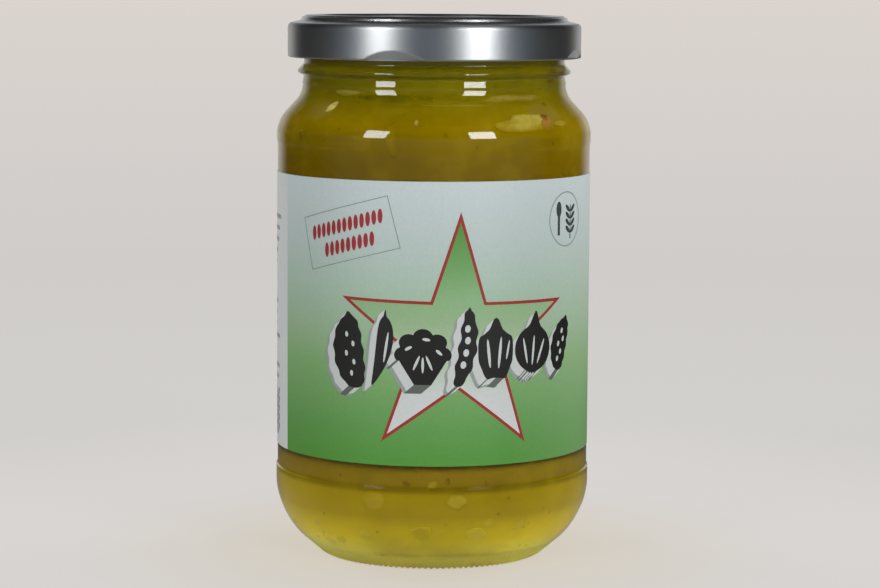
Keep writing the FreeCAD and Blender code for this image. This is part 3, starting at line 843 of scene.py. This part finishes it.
def drawn(kind, wide, tall):
    """The flat shape of one vegetable, upright about its middle: a disc, bent by the angle u from
    its top."""
    bm = disc(2 / MM, 2 / MM, 128)
    for vertex in bm.verts:
        u = math.atan2(vertex.co.x, vertex.co.z)
        x, z = math.sin(u), math.cos(u)
        from_foot = math.pi - abs(u)
        stalk = math.exp(-((u / 0.13) ** 2))
        if kind == "gherkin":
            x = math.copysign(abs(x) ** 0.8, x) * (1 + 0.05 * math.sin(13 * u)) + 0.30 * z * z - 0.1
            z += 0.12 * stalk
        elif kind == "onion":
            z = 0.78 * z - 0.14 + 0.50 * math.exp(-((u / 0.22) ** 2))
            z -= 0.10 * (0.5 + 0.5 * math.cos(44 * u)) * math.exp(-((from_foot / 0.25) ** 2))
        elif kind == "cauliflower":
            if abs(u) < 1.9:
                lobe = 0.80 + 0.20 * abs(math.cos(3.74 * u)) ** 0.7
                x, z = x * lobe, 0.12 + 0.88 * z * lobe
            else:
                leaf = max(0, (from_foot - 0.75) / 0.5)
                z = -1 + 0.9 * leaf
                if from_foot > 0.3:
                    x = math.copysign(0.30 + 0.55 * leaf, x)
        elif kind == "pepper":
            x = math.copysign(abs(x) ** 0.7, x) * (0.88 + 0.12 * z)
            z = 0.80 * math.copysign(abs(z) ** 0.8, z) - 0.16 + 0.05 * math.cos(6 * u) + 0.34 * stalk
        elif kind == "bean":
            x = math.copysign(abs(x) ** 0.75, x) * (1 + 0.13 * math.cos(13 * z))
            x += 0.5 * (1 - z * z) - 0.25
            z += 0.08 * math.exp(-((u / 0.08) ** 2))
        else:
            share = (z + 1) / 2
            x = x * (0.30 + 0.70 * share ** 0.7) - 0.8 * (1 - share) ** 2 + 0.25 * (1 - z * z)
            z = 0.93 * z + 0.20 * math.exp(-((u / 0.10) ** 2))
        vertex.co = (x * wide / 2 * MM, 0, z * tall / 2 * MM)
    return bm


faces, details, sides = bmesh.new(), bmesh.new(), bmesh.new()
for kind, along, up, wide, tall, lean in ROW:
    one = lay(drawn(kind, wide, tall), along, up, lean)
    for aside, above, across, long, tilt in DETAILS[kind]:
        line = lay(disc(across, long, 20), aside * wide / 2, above * tall / 2, tilt)
        join(details, lay(line, along, up, lean))
    one.normal_update()
    side = one.copy()
    side.edges.ensure_lookup_table()
    near = []
    for face in side.faces:
        for loop in face.loops:
            run = loop.link_loop_next.vert.co - loop.vert.co
            if run.cross(face.normal).dot(BOARD) > 0:
                near.append(loop.edge)
    bmesh.ops.delete(side, geom=side.faces[:], context="FACES_ONLY")
    bmesh.ops.delete(side, geom=[e for e in side.edges if e not in near], context="EDGES")
    for shade in (1, 2):
        before = set(side.faces)
        grown = bmesh.ops.extrude_edge_only(side, edges=near)["geom"]
        near = [g for g in grown if isinstance(g, bmesh.types.BMEdge)]
        bmesh.ops.translate(
            side, verts=[g for g in grown if isinstance(g, bmesh.types.BMVert)],
            vec=BOARD * (PALE_SHARE if shade == 1 else 1 - PALE_SHARE))
        for face in set(side.faces) - before:
            run = max((e.verts[0].co - e.verts[1].co for e in face.edges if e not in near),
                      key=lambda way: abs(way.cross(BOARD).y))
            face.material_index = 3 if abs(run.x) > 1.8 * abs(run.z) and run.x * run.z <= 0 else shade
    join(faces, one)
    join(sides, side)
board = [board_black, board_pale, board_shade, board_under]
printed(sides, "label_vegetable_sides", 0.035, board)
printed(faces, "label_vegetable_faces", 0.05, board)
printed(details, "label_vegetable_lines", 0.06, [board_pale])


# ---------------------------------------------------------------- printed side panels
# The plain white part that meets at the back carries the small print: here only grey rules that
# stand in for lines of words, a ruled table and a sprig.
small_print = bmesh.new()
TABLE_TOP, TABLE_STEP = 78, 4.4
for left, right, top, rows in (
        (-104, -80, 84, 13), (-75, -47.5, 80, 5), (-73, -49, 60, 4), (-60, -48, 45, 2)):
    for k in range(rows):
        short = (0, 4.5, 1.5, 7, 2.5)[(k * 2 + rows) % 5]
        join(small_print, sheet(left, right - short, top - 2.7 * k - 1.0, top - 2.7 * k))
for k in range(9):
    top = TABLE_TOP - TABLE_STEP * k
    join(small_print, sheet(70, 102, top - 0.15, top + 0.15))
    if k < 8:
        join(small_print, sheet(72, 84 + (k * 5) % 7, top - 2.7, top - 1.7))
        join(small_print, sheet(94, 99.5, top - 2.7, top - 1.7))
for k in range(5):
    for side in (-1, 1):
        leaf = disc(1.5, 4.2, 24)
        join(small_print, lay(leaf, -52.5 + side * 2.0, 29.5 + 2.1 * k, side * LEAF_LEAN))
printed(small_print, "label_small_print", 0.02, [mark_grey])


# ---------------------------------------------------------------- lid
# The lid is a twist-off cap pressed from bright tinplate: a rolled hem with four lugs, a ring
# pressed up round the panel, and a button that stands up if the jar has been opened.
LID_STEPS = 360
LID_TOP, SKIRT, SHEET = 126.1, 34.25, 0.3
HEM_LOW, HEM = 116.3, 1.4
LUG_ARC, DENT_HIGH, DENT_DEEP, LUG_REACH = 23, 2.3, 0.85, 1.3
RING_IN, RING_OUT, RING_ABOVE = 27.2, 33.4, 123.9

bm = outline([
    (0, 124.4, 0), (8.6, 124.4, 1.2), (10.5, 124.9, 1.2), (27.0, 124.9, 0.35), (27.5, LID_TOP, 0.6),
    (30.1, LID_TOP, 0.7), (31.3, 124.85, 0.4), (SKIRT, 124.1, 1.1), (SKIRT, 120.0, 0),
    (SKIRT, HEM_LOW, 0.5), (SKIRT - HEM, HEM_LOW, 0.69), (SKIRT - HEM, HEM_LOW + HEM, 0.5),
    (SKIRT - SHEET - 0.05, HEM_LOW + HEM, 0.3), (SKIRT - SHEET, 123.85, 0.9), (31.3, 124.5, 0.2),
    (30.9, LID_TOP - SHEET - 0.1, 0.3), (27.4, LID_TOP - SHEET - 0.1, 0.3), (27.0, 124.6, 0.2),
    (10.5, 124.6, 0.8), (8.6, 124.1, 0.8), (0, 124.1, 0)])
split_runs(bm, (SKIRT - 0.01, HEM_LOW + 0.45), (SKIRT + 0.01, 120.1), 15)
spin(bm, LID_STEPS)
for vertex in bm.verts:
    reach, height, turn = reach_of(vertex.co) / MM, vertex.co.z / MM, turn_of(vertex.co)
    off = min(apart(turn, FIRST_LUG + 90 * k) for k in range(4))
    if height < HEM_LOW + DENT_HIGH and off < LUG_ARC / 2:
        swell = math.cos(off / (LUG_ARC / 2) * math.pi / 2) ** 0.7
        if reach > SKIRT - 0.7:
            rise = (height - HEM_LOW) / max(0.05, DENT_HIGH * swell)
            move_out(vertex, -DENT_DEEP * max(0, 1 - rise))
        elif reach < SKIRT - 1.0 and height < HEM_LOW + HEM + 0.01:
            move_out(vertex, -LUG_REACH * swell)


def tinplate(name, roughness, stretch, metal=1.0):
    """Tinplate under clear lacquer, rubbed a little. Stretch draws its highlights out up the side."""
    made, tree, shader = new_material(name)
    place = add(tree, "ShaderNodeTexCoord").outputs["Object"]
    shader.inputs["Metallic"].default_value = metal
    wear = mottle(tree, place, 70.0, 4.0)
    tree.links.new(ramp(tree, wear, [
        (0.3, colour(200, 203, 204)), (0.7, colour(214, 216, 216))]), shader.inputs["Base Color"])
    tree.links.new(
        spread(tree, wear, 0.3, 0.7, roughness - 0.02, roughness + 0.02), shader.inputs["Roughness"])
    emboss(tree, shader, mottle(tree, place, 900.0, 3.0), 0.05, 0.0002)
    if stretch:
        shader.inputs["Anisotropic"].default_value = stretch
        shader.inputs["Anisotropic Rotation"].default_value = 0.25
        rolled = add(tree, "ShaderNodeTangent", direction_type="RADIAL", axis="Z")
        tree.links.new(rolled.outputs["Tangent"], shader.inputs["Tangent"])
    return made


for face in bm.faces:
    middle = face.calc_center_median()
    if middle.z > RING_ABOVE * MM and reach_of(middle) < RING_OUT * MM:
        face.material_index = 1 if reach_of(middle) < RING_IN * MM else 2
lid = finish_piece(bm, "twist_lid", [
    tinplate("silver_tinplate", 0.43, 0.7), tinplate("silver_tinplate_panel", 0.24, 0, metal=0.88),
    tinplate("silver_tinplate_ring", 0.24, 0, metal=0.98)])
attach(lid, "root")
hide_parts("lid")
